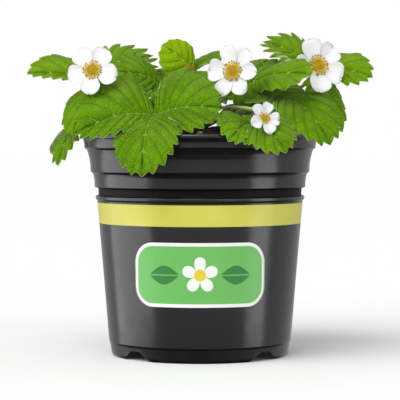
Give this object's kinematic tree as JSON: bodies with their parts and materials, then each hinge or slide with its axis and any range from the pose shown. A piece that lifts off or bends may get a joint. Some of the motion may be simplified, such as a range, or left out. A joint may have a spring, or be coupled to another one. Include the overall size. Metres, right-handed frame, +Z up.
{
  "type": "potted strawberry plant",
  "caption": "Strawberry plant with toothed trifoliate leaves and white flowers, rooted in soil in a round stepped nursery pot with a notched foot ring.",
  "frame": {"origin": "middle of the bounding box at its base, which is the pot's axis on the surface it stands on", "axes": "+Z up along the pot's axis; -Y is the front, which the flowers face; +X to the right seen from the front"},
  "size_m": [0.1636, 0.1383, 0.1546],
  "materials": {
    "pot_plastic": "gloss",
    "soil": "matte",
    "crown": "matte",
    "leaf": "satin",
    "stalk": "satin",
    "petal": "matte",
    "flower_centre": "matte"
  },
  "bodies": {
    "root": {"nursery_pot": "pot_plastic", "potting_soil": "soil", "crown": "crown", "leaf_front_left_blade": "leaf", "leaf_front_left_stalk": "stalk", "leaf_far_left_blade": "leaf", "leaf_far_left_stalk": "stalk", "leaf_low_left_blade": "leaf", "leaf_low_left_stalk": "stalk", "leaf_centre_left_blade": "leaf", "leaf_centre_left_stalk": "stalk", "leaf_top_centre_blade": "leaf", "leaf_top_centre_stalk": "stalk", "leaf_front_right_blade": "leaf", "leaf_front_right_stalk": "stalk", "leaf_right_blade": "leaf", "leaf_right_stalk": "stalk", "leaf_centre_right_blade": "leaf", "leaf_centre_right_stalk": "stalk", "leaf_far_right_blade": "leaf", "leaf_far_right_stalk": "stalk", "leaf_back_left_blade": "leaf", "leaf_back_left_stalk": "stalk", "leaf_back_blade": "leaf", "leaf_back_stalk": "stalk", "leaf_back_right_blade": "leaf", "leaf_back_right_stalk": "stalk", "flower_left_petal_1": "petal", "flower_left_petal_2": "petal", "flower_left_petal_3": "petal", "flower_left_petal_4": "petal", "flower_left_petal_5": "petal", "flower_left_centre": "flower_centre", "flower_left_stalk": "stalk", "flower_middle_petal_1": "petal", "flower_middle_petal_2": "petal", "flower_middle_petal_3": "petal", "flower_middle_petal_4": "petal", "flower_middle_petal_5": "petal", "flower_middle_petal_6": "petal", "flower_middle_centre": "flower_centre", "flower_middle_stalk": "stalk", "flower_right_petal_1": "petal", "flower_right_petal_2": "petal", "flower_right_petal_3": "petal", "flower_right_petal_4": "petal", "flower_right_petal_5": "petal", "flower_right_centre": "flower_centre", "flower_right_stalk": "stalk", "flower_front_petal_1": "petal", "flower_front_petal_2": "petal", "flower_front_petal_3": "petal", "flower_front_petal_4": "petal", "flower_front_petal_5": "petal", "flower_front_centre": "flower_centre", "flower_front_stalk": "stalk"}
  },
  "joints": []
}
